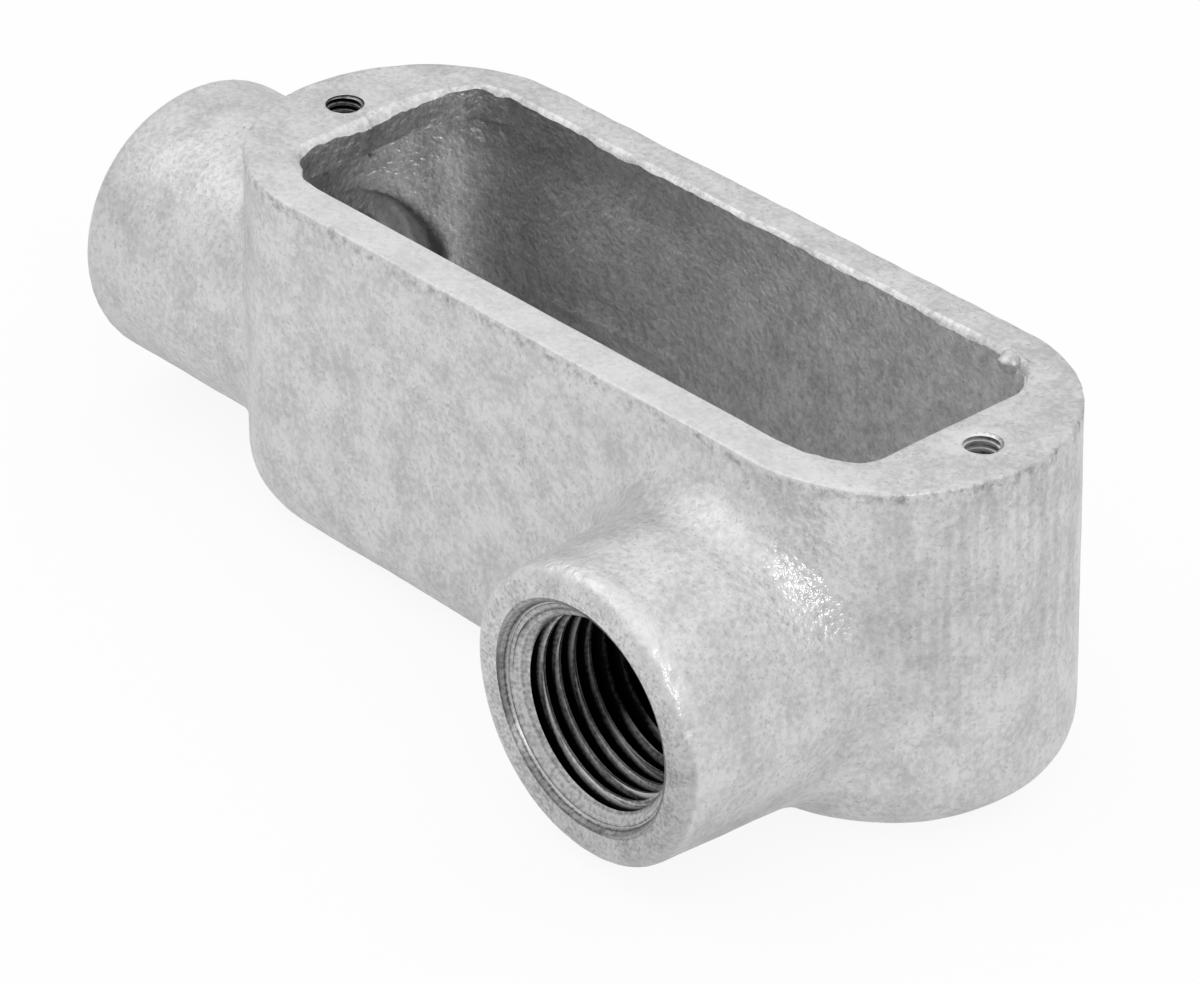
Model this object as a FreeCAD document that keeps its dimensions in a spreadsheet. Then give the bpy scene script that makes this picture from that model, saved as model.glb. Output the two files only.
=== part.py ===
import FreeCAD, Part
import math
import os

import Sketcher
from FreeCAD import Vector

# Half inch conduit body with one outlet at its end and one on its side.
# It is one malleable iron casting. X runs along the body, the end hub points
# to -X, the side hub to -Y and the cover opening faces up. The origin is the
# middle of the base.

# Driving sizes of the casting, in millimetres
SIZES = [
    ("tap_radius", 9.13, "bore that the half inch pipe thread is cut in"),
    ("hub_wall", 5.62, "from that bore to the outside of a hub"),
    ("hub_underside", 1.55, "underside of the hubs above the base"),
    ("hub_edge_round", 1.6, "round at the outer edge of each hub face"),
    ("end_hub_length", 19.1, "end hub face from the end of the flange"),
    ("end_hub_blend", 3.0, "cast blend between the end hub and the body"),
    ("side_hub_length", 17.6, "side hub face from the side of the flange"),
    ("side_hub_margin", 6.55, "closed end of the flange beyond the side hub"),
    ("side_hub_draft", 2.3, "growth of the side hub towards the body, in degrees"),
    ("side_hub_blend", 5.4, "cast blend between the side hub and the body"),
    ("body_length", 100.6, "flange length over both round ends"),
    ("shoulder", 2.75, "flange beyond the hubs on each side"),
    ("flange_rise", 7.15, "flange face above the top of the hubs"),
    ("flange_edge_round", 0.4, "soft outer edge of the flange face"),
    ("wall_draft", 0.9, "lean of the walls above the parting line, in degrees"),
    ("base_round", 6.3, "round between the base and the walls"),
    ("side_wall", 3.2, "wall of the cavity at its sides and ends"),
    ("floor_wall", 3.6, "wall under the cavity"),
    ("floor_round", 4.5, "round between the cavity floor and its walls"),
    ("lip_depth", 3.8, "thickness of the lip that the cover lies on"),
    ("end_land", 10.3, "flange face between the opening and each end"),
    ("side_land", 4.4, "flange face between the opening and each side"),
    ("opening_corner", 5.0, "corner round of the cover opening"),
    ("opening_edge_break", 0.4, "broken edge of the cover opening"),
    ("thread_start_rise", 1.57, "chamfer that starts the thread, beyond the bore"),
    ("thread_start_depth", 1.5, "depth of that chamfer"),
    ("recess_step", 0.3, "recess floor around that chamfer"),
    ("recess_flare", 0.45, "growth of the recess from its floor to the hub face"),
    ("recess_depth", 1.3, "depth of the recess at each hub face"),
    ("bushing_step", 1.13, "smooth bushing inside the bore"),
    ("bushing_length", 3.0, "length of that bushing"),
    ("bushing_edge", 0.6, "broken edge of the bushing towards the cavity"),
    ("port_rise", 1.67, "round recess in the cavity wall, beyond the bore"),
    ("port_cut", 0.4, "how far that recess goes into the wall"),
    ("screw_inset", 5.7, "cover screw from the end of the flange"),
    ("screw_tap_radius", 1.73, "tapping hole for a number 8 cover screw"),
    ("screw_mouth_chamfer", 0.3, "chamfer at the mouth of a screw hole"),
]

# Places that follow from those sizes
HUB_RADIUS = "(Sizes.tap_radius + Sizes.hub_wall)"
AXIS_HEIGHT = "(Sizes.hub_underside + %s)" % HUB_RADIUS
BODY_HEIGHT = "(%s + %s + Sizes.flange_rise)" % (AXIS_HEIGHT, HUB_RADIUS)
BODY_WIDTH = "(2 * %s + 2 * Sizes.shoulder)" % HUB_RADIUS
ROUND_END = "(Sizes.body_length / 2 - %s / 2)" % BODY_WIDTH
END_REACH = "(Sizes.body_length / 2 + Sizes.end_hub_length)"
END_WALL = "(Sizes.body_length / 2 - Sizes.side_wall)"
SIDE_REACH = "(%s / 2 + Sizes.side_hub_length)" % BODY_WIDTH
SIDE_WALL = "(%s / 2 - Sizes.side_wall)" % BODY_WIDTH
SIDE_STATION = "(Sizes.body_length / 2 - Sizes.side_hub_margin - %s)" % HUB_RADIUS
CAVITY_TOP = "(%s - Sizes.lip_depth)" % BODY_HEIGHT
OPENING_LENGTH = "(Sizes.body_length - 2 * Sizes.end_land)"
OPENING_WIDTH = "(%s - 2 * Sizes.side_land)" % BODY_WIDTH

SAME = 1e-4  # lengths that differ by less than this are equal
ROUGH = 5  # size at which sketch lines are first drawn, before they are bound
ORIGIN = -1  # the sketcher's number for the origin and the horizontal axis
START, END, CENTRE = 1, 2, 3  # its numbers for the points of a line or arc


def make_sheet(doc):
    sheet = doc.addObject("Spreadsheet::Sheet", "Sizes")
    for row, (name, value, note) in enumerate(SIZES, start=1):
        sheet.set("A%d" % row, note)
        sheet.set("B%d" % row, str(value))
        sheet.setAlias("B%d" % row, name)
    doc.recompute()
    return sheet


def origin_plane(body, role):
    return next(item for item in body.Origin.OriginFeatures if item.Role == role)


def new_sketch(body, name, role, shift_up="0", shift_out="0"):
    """A sketch on an origin plane, moved in that plane and off it."""
    sketch = body.newObject("Sketcher::SketchObject", name)
    sketch.AttachmentSupport = (origin_plane(body, role), [""])
    sketch.MapMode = "FlatFace"
    sketch.setExpression(".AttachmentOffset.Base.y", shift_up)
    sketch.setExpression(".AttachmentOffset.Base.z", shift_out)
    return sketch


def bind(sketch, expression, *constraint):
    """Adds a driving dimension and ties it to the sizes."""
    index = sketch.addConstraint(Sketcher.Constraint(*constraint))
    sketch.setExpression("Constraints[%d]" % index, expression)


def draw_outline(sketch, sheet, length, width, corner):
    """A rectangle with round corners about the sketch's origin."""
    corner_radius = sheet.evalExpression(corner)
    across = sheet.evalExpression(length) / 2 - corner_radius
    up = sheet.evalExpression(width) / 2 - corner_radius
    quarter = math.pi / 2
    arcs = []
    for turn, (x, y) in enumerate(((across, up), (-across, up), (-across, -up), (across, -up))):
        circle = Part.Circle(Vector(x, y, 0), Vector(0, 0, 1), corner_radius)
        arc = Part.ArcOfCircle(circle, turn * quarter, (turn + 1) * quarter)
        arcs.append(sketch.addGeometry(arc))
    lines = []
    following_arcs = arcs[1:] + arcs[:1]
    for arc, following in zip(arcs, following_arcs):
        ends = (sketch.getPoint(arc, END), sketch.getPoint(following, START))
        lines.append(sketch.addGeometry(Part.LineSegment(*ends)))
    for arc, line, following in zip(arcs, lines, following_arcs):
        sketch.addConstraint(Sketcher.Constraint("Tangent", arc, END, line, START))
        sketch.addConstraint(Sketcher.Constraint("Tangent", line, END, following, START))
    for arc in arcs[1:]:
        sketch.addConstraint(Sketcher.Constraint("Equal", arcs[0], arc))
    for level, upright in ((lines[0], lines[1]), (lines[2], lines[3])):
        sketch.addConstraint(Sketcher.Constraint("Horizontal", level))
        sketch.addConstraint(Sketcher.Constraint("Vertical", upright))
    sketch.addConstraint(Sketcher.Constraint("Symmetric", arcs[0], CENTRE, arcs[2], CENTRE, ORIGIN, START))
    bind(sketch, corner, "Radius", arcs[0], corner_radius)
    bind(sketch, "%s - 2 * %s" % (length, corner), "DistanceX", arcs[1], CENTRE, arcs[0], CENTRE, 2 * across)
    bind(sketch, "%s - 2 * %s" % (width, corner), "DistanceY", arcs[2], CENTRE, arcs[1], CENTRE, 2 * up)


def draw_slot(sketch, sheet, length, width):
    """A slot with round ends about the sketch's origin, along its X axis."""
    radius = sheet.evalExpression(width) / 2
    reach = sheet.evalExpression(length) / 2 - radius
    normal = Vector(0, 0, 1)
    quarter = math.pi / 2
    right_circle = Part.Circle(Vector(reach, 0, 0), normal, radius)
    left_circle = Part.Circle(Vector(-reach, 0, 0), normal, radius)
    right = sketch.addGeometry(Part.ArcOfCircle(right_circle, -quarter, quarter))
    left = sketch.addGeometry(Part.ArcOfCircle(left_circle, quarter, 3 * quarter))
    back_ends = (sketch.getPoint(right, END), sketch.getPoint(left, START))
    back = sketch.addGeometry(Part.LineSegment(*back_ends))
    front_ends = (sketch.getPoint(left, END), sketch.getPoint(right, START))
    front = sketch.addGeometry(Part.LineSegment(*front_ends))
    sketch.addConstraint([
        Sketcher.Constraint("Tangent", right, END, back, START),
        Sketcher.Constraint("Tangent", back, END, left, START),
        Sketcher.Constraint("Tangent", left, END, front, START),
        Sketcher.Constraint("Tangent", front, END, right, START),
        Sketcher.Constraint("Equal", left, right),
        Sketcher.Constraint("Horizontal", back),
        Sketcher.Constraint("Symmetric", left, CENTRE, right, CENTRE, ORIGIN, START),
    ])
    bind(sketch, "%s / 2" % width, "Radius", right, radius)
    bind(sketch, "%s - %s" % (length, width), "DistanceX", left, CENTRE, right, CENTRE, 2 * reach)


def draw_circle(sketch, radius, along=None):
    """A circle on the sketch's origin, or that far along its X axis."""
    circle = sketch.addGeometry(Part.Circle(Vector(ROUGH, 0, 0), Vector(0, 0, 1), ROUGH / 2))
    if along:
        sketch.addConstraint(Sketcher.Constraint("PointOnObject", circle, CENTRE, ORIGIN))
        bind(sketch, along, "DistanceX", ORIGIN, START, circle, CENTRE, ROUGH)
    else:
        sketch.addConstraint(Sketcher.Constraint("Coincident", circle, CENTRE, ORIGIN, START))
    bind(sketch, radius, "Radius", circle, ROUGH / 2)


def draw_half_profile(sketch, corners):
    """A closed outline above the X axis, left of the origin. Each corner is
    an expression for its distance from the origin and one for its height,
    or None where it lies on the axis."""
    turn = math.pi / len(corners)
    rough_corners = [
        Vector(-ROUGH * (2 + math.cos(turn * number)), ROUGH * math.sin(turn * number), 0)
        for number in range(len(corners))
    ]
    lines = []
    for corner, following in zip(rough_corners, rough_corners[1:] + rough_corners[:1]):
        lines.append(sketch.addGeometry(Part.LineSegment(corner, following)))
    for line, following in zip(lines, lines[1:] + lines[:1]):
        sketch.addConstraint(Sketcher.Constraint("Coincident", line, END, following, START))
    for line, (along, height) in zip(lines, corners):
        bind(sketch, along, "DistanceX", line, START, ORIGIN, START, ROUGH)
        if height is None:
            sketch.addConstraint(Sketcher.Constraint("PointOnObject", line, START, ORIGIN))
        else:
            bind(sketch, height, "DistanceY", ORIGIN, START, line, START, ROUGH)


def extrude(body, kind, name, sketch, length, reverse=False):
    feature = body.newObject("PartDesign::" + kind, name)
    feature.Profile = sketch
    feature.Reversed = reverse
    feature.setExpression("Length", length)
    body.Document.recompute()
    return feature


def dress(body, kind, name, edge_test, size):
    """A fillet or chamfer on the edges of the body that pass the test."""
    base = body.Tip
    edges = ["Edge%d" % number for number, edge in enumerate(base.Shape.Edges, start=1) if edge_test(edge)]
    feature = body.newObject("PartDesign::" + kind, name)
    feature.Base = (base, edges)
    feature.setExpression("Radius" if kind == "Fillet" else "Size", size)
    body.Document.recompute()


def lies_at_height(item, height):
    box = item.BoundBox
    return abs(box.ZMin - height) < SAME and abs(box.ZMax - height) < SAME


def is_circle(edge, radius):
    return isinstance(edge.Curve, Part.Circle) and abs(edge.Curve.Radius - radius) < SAME


def joint_test(body, point, axis):
    """Tells the edges where a hub, turned about its axis, meets the box."""
    joint = []
    for face in body.Tip.Shape.Faces:
        surface = face.Surface
        if not isinstance(surface, (Part.Cylinder, Part.Cone)):
            continue
        if abs(abs(surface.Axis.dot(axis)) - 1) < SAME and surface.Center.distanceToLine(point, axis) < SAME:
            joint += [edge for edge in face.Edges if not isinstance(edge.Curve, (Part.Line, Part.Circle))]
    return lambda candidate: any(candidate.isSame(edge) for edge in joint)


def add_box(body, sheet):
    """The cast box: a slot in plan that widens from the flange down to the
    parting line at the hub axes, then goes straight down to a rounded base."""
    plan = new_sketch(body, "FlangePlan", "XY_Plane", shift_out=BODY_HEIGHT)
    draw_slot(plan, sheet, "Sizes.body_length", BODY_WIDTH)
    upper = extrude(body, "Pad", "UpperBox", plan, "%s - %s" % (BODY_HEIGHT, AXIS_HEIGHT), reverse=True)
    upper.setExpression("TaperAngle", "Sizes.wall_draft")
    body.Document.recompute()
    parting_height = sheet.evalExpression(AXIS_HEIGHT)
    faces = ["Face%d" % number for number, face in enumerate(upper.Shape.Faces, start=1)
             if lies_at_height(face, parting_height)]
    extrude(body, "Pad", "LowerBox", (upper, faces), AXIS_HEIGHT)
    dress(body, "Fillet", "BaseRound", lambda edge: lies_at_height(edge, 0), "Sizes.base_round")


def add_hubs(body, sheet):
    """Two round hubs on one level, blended into the box."""
    axis_height = sheet.evalExpression(AXIS_HEIGHT)
    end_face = new_sketch(body, "EndHubFace", "YZ_Plane", AXIS_HEIGHT, "-" + END_REACH)
    draw_circle(end_face, HUB_RADIUS)
    extrude(body, "Pad", "EndHub", end_face, "%s - %s" % (END_REACH, ROUND_END))
    end_joint = joint_test(body, Vector(0, 0, axis_height), Vector(1, 0, 0))
    dress(body, "Fillet", "EndHubBlend", end_joint, "Sizes.end_hub_blend")

    # The side hub runs in as far as the flat of the base
    side_face = new_sketch(body, "SideHubFace", "XZ_Plane", AXIS_HEIGHT, SIDE_REACH)
    draw_circle(side_face, HUB_RADIUS, SIDE_STATION)
    side = extrude(body, "Pad", "SideHub", side_face,
                   "Sizes.side_hub_length + Sizes.side_wall + Sizes.base_round", reverse=True)
    side.setExpression("TaperAngle", "Sizes.side_hub_draft")
    body.Document.recompute()
    station = sheet.evalExpression(SIDE_STATION)
    side_joint = joint_test(body, Vector(station, 0, axis_height), Vector(0, 1, 0))
    dress(body, "Fillet", "SideHubBlend", side_joint, "Sizes.side_hub_blend")

    hub_radius = sheet.evalExpression(HUB_RADIUS)
    flange_height = sheet.evalExpression(BODY_HEIGHT)
    dress(body, "Fillet", "HubEdgeRound", lambda edge: is_circle(edge, hub_radius), "Sizes.hub_edge_round")
    dress(body, "Fillet", "FlangeEdgeRound", lambda edge: lies_at_height(edge, flange_height),
          "Sizes.flange_edge_round")


def add_cavity(body, sheet):
    """The cored cavity, wider than the opening in the lip above it."""
    plan = new_sketch(body, "CavityPlan", "XY_Plane", shift_out=CAVITY_TOP)
    draw_slot(plan, sheet, "(2 * %s)" % END_WALL, "(2 * %s)" % SIDE_WALL)
    extrude(body, "Pocket", "Cavity", plan, CAVITY_TOP + " - Sizes.floor_wall")
    dress(body, "Fillet", "FloorRound", lambda edge: lies_at_height(edge, sheet.floor_wall),
          "Sizes.floor_round")

    opening_plan = new_sketch(body, "OpeningPlan", "XY_Plane", shift_out=BODY_HEIGHT)
    draw_outline(opening_plan, sheet, OPENING_LENGTH, OPENING_WIDTH, "Sizes.opening_corner")
    extrude(body, "Pocket", "Opening", opening_plan, "Sizes.lip_depth")

    flange_height = sheet.evalExpression(BODY_HEIGHT)
    half_length = sheet.evalExpression(OPENING_LENGTH) / 2 + SAME
    half_width = sheet.evalExpression(OPENING_WIDTH) / 2 + SAME

    def is_opening_edge(edge):
        box = edge.BoundBox
        in_length = -half_length < box.XMin and box.XMax < half_length
        in_width = -half_width < box.YMin and box.YMax < half_width
        return in_length and in_width and lies_at_height(edge, flange_height)

    dress(body, "Chamfer", "OpeningEdge", is_opening_edge, "Sizes.opening_edge_break")


def add_bore(body, name, role, station, reach, wall, inside):
    """One tapped outlet, turned about its hub's axis: the recess at the hub
    face, the chamfer that starts the thread, the straight tapping bore, the
    smooth bushing and the round recess where it opens into the cavity."""
    profile = new_sketch(body, name + "Profile", role, AXIS_HEIGHT, station)
    recess_floor = reach + " - Sizes.recess_depth"
    bore_start = recess_floor + " - Sizes.thread_start_depth"
    port = wall + " + Sizes.port_cut"
    bore_end = port + " + Sizes.bushing_length"
    thread_start_radius = "Sizes.tap_radius + Sizes.thread_start_rise"
    recess_radius = thread_start_radius + " + Sizes.recess_step"
    bushing_radius = "Sizes.tap_radius - Sizes.bushing_step"
    port_radius = "Sizes.tap_radius + Sizes.port_rise"
    draw_half_profile(profile, [
        (reach, None),
        (reach, recess_radius + " + Sizes.recess_flare"),
        (recess_floor, recess_radius),
        (recess_floor, thread_start_radius),
        (bore_start, "Sizes.tap_radius"),
        (bore_end, "Sizes.tap_radius"),
        (bore_end, bushing_radius),
        (port + " + Sizes.bushing_edge", bushing_radius),
        (port, bushing_radius + " + Sizes.bushing_edge"),
        (port, port_radius),
        (inside, port_radius),
        (inside, None),
    ])
    groove = body.newObject("PartDesign::Groove", name)
    groove.Profile = profile
    groove.ReferenceAxis = (profile, ["H_Axis"])
    groove.Angle = 360
    body.Document.recompute()


def add_screw_holes(body, sheet):
    """Two tapped holes for the cover screws, through the lip."""
    plan = new_sketch(body, "ScrewPlan", "XY_Plane", shift_out=BODY_HEIGHT)
    draw_circle(plan, "Sizes.screw_tap_radius", "Sizes.body_length / 2 - Sizes.screw_inset")
    hole = extrude(body, "Pocket", "ScrewHole", plan, "Sizes.lip_depth")
    other = body.newObject("PartDesign::Mirrored", "OtherScrewHole")
    other.Originals = [hole]
    other.MirrorPlane = (origin_plane(body, "YZ_Plane"), [""])
    body.Tip = other
    body.Document.recompute()
    flange_height = sheet.evalExpression(BODY_HEIGHT)

    def is_mouth(edge):
        return is_circle(edge, sheet.screw_tap_radius) and lies_at_height(edge, flange_height)

    dress(body, "Chamfer", "ScrewMouths", is_mouth, "Sizes.screw_mouth_chamfer")


def check(doc):
    for item in doc.Objects:
        if "Invalid" in item.State or "Error" in item.State:
            raise RuntimeError("%s failed: %s" % (item.Name, item.State))


def main():
    doc = FreeCAD.newDocument("ConduitBody")
    sheet = make_sheet(doc)
    body = doc.addObject("PartDesign::Body", "Casting")
    body.Label = "conduit_body"
    add_box(body, sheet)
    add_hubs(body, sheet)
    add_cavity(body, sheet)
    add_bore(body, "EndBore", "XZ_Plane", "0", END_REACH, END_WALL, ROUND_END)
    add_bore(body, "SideBore", "YZ_Plane", SIDE_STATION, SIDE_REACH, SIDE_WALL, "0")
    add_screw_holes(body, sheet)
    doc.recompute()
    check(doc)
    shape = body.Shape
    if shape.isNull() or not shape.isValid() or len(shape.Solids) != 1:
        raise RuntimeError("the casting is not one valid solid")
    os.makedirs("parts", exist_ok=True)
    shape.exportStep("parts/%s.step" % body.Label)
    print(body.Label, "volume %.1f mm3" % shape.Volume, "faces", len(shape.Faces))


main()
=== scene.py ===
import math

import bmesh
import bpy
import numpy
from mathutils import Matrix, Vector, noise


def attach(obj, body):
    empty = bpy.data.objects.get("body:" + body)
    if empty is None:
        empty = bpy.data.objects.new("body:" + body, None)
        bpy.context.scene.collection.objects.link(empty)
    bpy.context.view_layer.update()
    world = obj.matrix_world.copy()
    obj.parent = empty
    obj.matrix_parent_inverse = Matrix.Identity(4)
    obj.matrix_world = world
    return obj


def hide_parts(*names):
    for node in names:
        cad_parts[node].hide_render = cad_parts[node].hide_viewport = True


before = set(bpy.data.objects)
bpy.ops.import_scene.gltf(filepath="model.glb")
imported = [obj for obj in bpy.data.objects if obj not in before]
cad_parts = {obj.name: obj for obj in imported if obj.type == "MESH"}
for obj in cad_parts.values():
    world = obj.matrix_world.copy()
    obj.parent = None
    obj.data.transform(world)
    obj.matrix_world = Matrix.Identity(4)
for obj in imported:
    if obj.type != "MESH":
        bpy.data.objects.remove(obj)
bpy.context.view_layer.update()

mm = 0.001

# where the casting's own features lie, in millimetres in the frame
body = {
    "flangeHeight": 38.2, "axisHeight": 16.3, "endReach": 69.4, "sideReach": 35.1,
    "sideStation": 29.0, "hubRadius": 14.75, "flangeHalfLength": 50.3, "flangeHalfWidth": 17.5,
    "openingHalfLength": 40.0, "openingHalfWidth": 13.1, "openingCorner": 5.0, "lipDepth": 3.8,
    "chamberHalfLength": 47.1, "chamberHalfWidth": 14.3, "screwHalfSpacing": 44.6,
}


def linearColour(hexText):
    # sRGB hex to the linear values that the shaders take
    channels = [int(hexText[i:i + 2], 16) / 255 for i in (1, 3, 5)]
    return tuple(c / 12.92 if c <= 0.04045 else ((c + 0.055) / 1.055) ** 2.4 for c in channels) + (1.0,)


def addNode(tree, kind, inputs=None, **settings):
    # one shader node; an input is a value or another node's output socket
    made = tree.nodes.new(kind)
    for key, value in settings.items():
        setattr(made, key, value)
    for key, value in (inputs or {}).items():
        if isinstance(value, bpy.types.NodeSocket):
            tree.links.new(value, made.inputs[key])
        else:
            made.inputs[key].default_value = value
    return made


def newMaterial(name):
    material = bpy.data.materials.new(name)
    material.use_nodes = True
    material.node_tree.nodes.clear()
    return material, material.node_tree


def finishPiece(bm, name, material):
    mesh = bpy.data.meshes.new(name)
    bm.to_mesh(mesh)
    bm.free()
    piece = bpy.data.objects.new(name, mesh)
    bpy.context.scene.collection.objects.link(piece)
    mesh.materials.append(material)
    return piece


def bakeModifiers(piece):
    # the evaluated mesh becomes the piece's own, with no modifier left
    graph = bpy.context.evaluated_depsgraph_get()
    baked = bpy.data.meshes.new_from_object(piece.evaluated_get(graph))
    piece.modifiers.clear()
    old = piece.data
    piece.data = baked
    bpy.data.meshes.remove(old)


def combine(piece, tool, operation="DIFFERENCE"):
    # cuts the tool's solid out of the casting, or joins it on, and drops the tool
    change = piece.modifiers.new("change", "BOOLEAN")
    change.operation = operation
    change.object = tool
    change.solver = "EXACT"
    change.material_mode = "TRANSFER"
    bakeModifiers(piece)
    bpy.data.objects.remove(tool)


def smoothStep(low, high, value):
    share = min(1.0, max(0.0, (value - low) / (high - low)))
    return share * share * (3 - 2 * share)


def slotDistance(x, y, halfLength, halfWidth):
    # signed distance in plan from the outline of a slot with fully round ends
    return math.hypot(max(0.0, abs(x) - halfLength + halfWidth), y) - halfWidth


def lathe(profile, steps):
    # a closed turned solid about local Z from points of (distance along, radius)
    bm = bmesh.new()
    points = [(profile[0][0], 0.0)] + profile + [(profile[-1][0], 0.0)]
    verts = [bm.verts.new((radius * mm, 0, along * mm)) for along, radius in points]
    edges = [bm.edges.new(pair) for pair in zip(verts, verts[1:])]
    bmesh.ops.spin(bm, geom=verts + edges, cent=(0, 0, 0), axis=(0, 0, 1), angle=math.tau,
                   steps=steps, use_merge=True, use_duplicate=False)
    bmesh.ops.remove_doubles(bm, verts=bm.verts, dist=1e-7)
    bmesh.ops.recalc_face_normals(bm, faces=bm.faces)
    return bm


def threadCoil(thread, length):
    # the groove of a right-hand thread as one closed coil about local Z, from the mouth inwards
    halfRoot = thread["rootFlat"] / 2
    shoulder = thread["shoulder"]
    halfCore = halfRoot + (thread["rootRadius"] - shoulder) * math.tan(math.radians(thread["flank"]))
    half = [(halfCore, thread["coreRadius"]), (halfCore, shoulder), (halfRoot, thread["rootRadius"])]
    corners = half + [(-along, radius) for along, radius in reversed(half)]
    bm = bmesh.new()
    verts = [bm.verts.new((radius * mm, 0, along * mm)) for along, radius in corners]
    turns = length / thread["pitch"]
    steps = round(turns * thread["turnSteps"])
    bmesh.ops.spin(bm, geom=[bm.faces.new(verts)], cent=(0, 0, 0), axis=(0, 0, 1), angle=-math.tau * turns,
                   dvec=(0, 0, -thread["pitch"] * turns / steps * mm), steps=steps, use_duplicate=False)
    bmesh.ops.remove_doubles(bm, verts=bm.verts, dist=1e-7)
    bmesh.ops.recalc_face_normals(bm, faces=bm.faces)
    for vert in bm.verts:
        shrink = 1 + vert.co.z * thread["taper"] / math.hypot(vert.co.x, vert.co.y)
        vert.co.x *= shrink
        vert.co.y *= shrink
    bmesh.ops.rotate(bm, verts=bm.verts, cent=(0, 0, 0), matrix=Matrix.Rotation(thread["startTurn"], 3, "Z"))
    return bm


# each hub's bore frame: local Z points out of the hub, from its face
hubFrames = {
    "end": Matrix.Translation((-body["endReach"] * mm, 0, body["axisHeight"] * mm))
    @ Matrix.Rotation(-math.pi / 2, 4, "Y"),
    "side": Matrix.Translation((body["sideStation"] * mm, -body["sideReach"] * mm, body["axisHeight"] * mm))
    @ Matrix.Rotation(math.pi / 2, 4, "X"),
}
boreDepths = {"end": 18.9, "side": 17.4}
screwFrames = [Matrix.Translation((side * body["screwHalfSpacing"] * mm, 0, body["flangeHeight"] * mm))
               for side in (-1, 1)]

# hot-dip galvanised malleable iron: a pale grey satin skin, finely mottled, brighter where it is rubbed
zincSettings = {
    # three of these colours paint light and shade: one darkens the flange's top face, one is the painted shadow
    # under the flange's edge, and one lightens painted highlights
    "pale": "#d7d7d7", "dull": "#bababa", "pit": "#969696", "edgeShadow": "#727272", "flange": "#f8f8f8",
    "thickZincAndSheen": "#e4e4e4", "wornPale": "#dedede", "wornDull": "#b6b6b6", "bright": "#fafafa",
    "metallic": 0.6, "wornMetallic": 0.7, "roughness": 0.42, "thickRoughness": 0.24,
    "cloudShare": 0.42, "stops": (0.38, 0.585), "pitShare": 0.75, "edgeShadowShare": 0.8, "runStretch": 0.07,
}
# how many features of each pattern lie in a metre, so that 1500 makes a grain of 0.67 mm; those of the tool
# marks are in a millimetre
patternScales = {
    "grain": 1500.0, "cloud": 230.0, "dots": 2900.0, "patches": 420.0, "blotch": 900.0, "runs": 1000.0,
    "shreds": 1000.0, "fine": 1700.0, "crystals": 1500.0, "worn": 1600.0, "grit": 2600.0, "toolMarks": 5.0,
}
# cut iron: bright on the crests, with painted shade almost black in the grooves
ironSettings = {
    "root": "#040404", "crest": "#e0e0e0", "stops": (0.06, 0.95), "metallic": 0.9, "roughness": 0.38,
}


def setStops(ramp, positions, colours):
    # the two ends of a colour ramp
    for stop, position, colour in zip(ramp.color_ramp.elements, positions, colours):
        stop.position = position
        stop.color = linearColour(colour)


def addMottle(tree, place, pale, dull):
    # clouds of about 4 mm with a grain of about 0.7 mm, and dark grit of 0.3 mm gathered in patches
    grain = addNode(tree, "ShaderNodeTexNoise", {
        "Vector": place, "Scale": patternScales["grain"], "Detail": 5.0, "Roughness": 0.62})
    cloud = addNode(tree, "ShaderNodeTexNoise", {
        "Vector": place, "Scale": patternScales["cloud"], "Detail": 3.0})
    both = addNode(tree, "ShaderNodeMix", {
        "Factor": zincSettings["cloudShare"], 2: grain.outputs["Fac"], 3: cloud.outputs["Fac"]})
    ramp = addNode(tree, "ShaderNodeValToRGB", {"Fac": both.outputs[0]})
    setStops(ramp, zincSettings["stops"], (dull, pale))
    dots = addNode(tree, "ShaderNodeTexNoise", {
        "Vector": place, "Scale": patternScales["dots"], "Detail": 2.0})
    pitted = addNode(tree, "ShaderNodeAttribute", attribute_name="pitted")
    patches = addNode(tree, "ShaderNodeTexNoise", {
        "Vector": place, "Scale": patternScales["patches"], "Detail": 3.0})
    density = addNode(tree, "ShaderNodeMath", {0: pitted.outputs["Fac"], 1: 0.9}, operation="ADD")
    patchy = addNode(tree, "ShaderNodeMath", {
        0: density.outputs[0], 1: patches.outputs["Fac"]}, operation="MULTIPLY")
    more = addNode(tree, "ShaderNodeMath", {0: patchy.outputs[0], 1: 0.28, 2: dots.outputs["Fac"]},
                   operation="MULTIPLY_ADD")
    sparse = addNode(tree, "ShaderNodeMapRange", {
        "Value": more.outputs[0], 1: 0.7, 2: 0.95, 3: 0.0, 4: zincSettings["pitShare"]})
    return addNode(tree, "ShaderNodeMix", {
        "Factor": sparse.outputs[0], 6: ramp.outputs["Color"], 7: linearColour(zincSettings["pit"])},
        data_type="RGBA").outputs[2]


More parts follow.
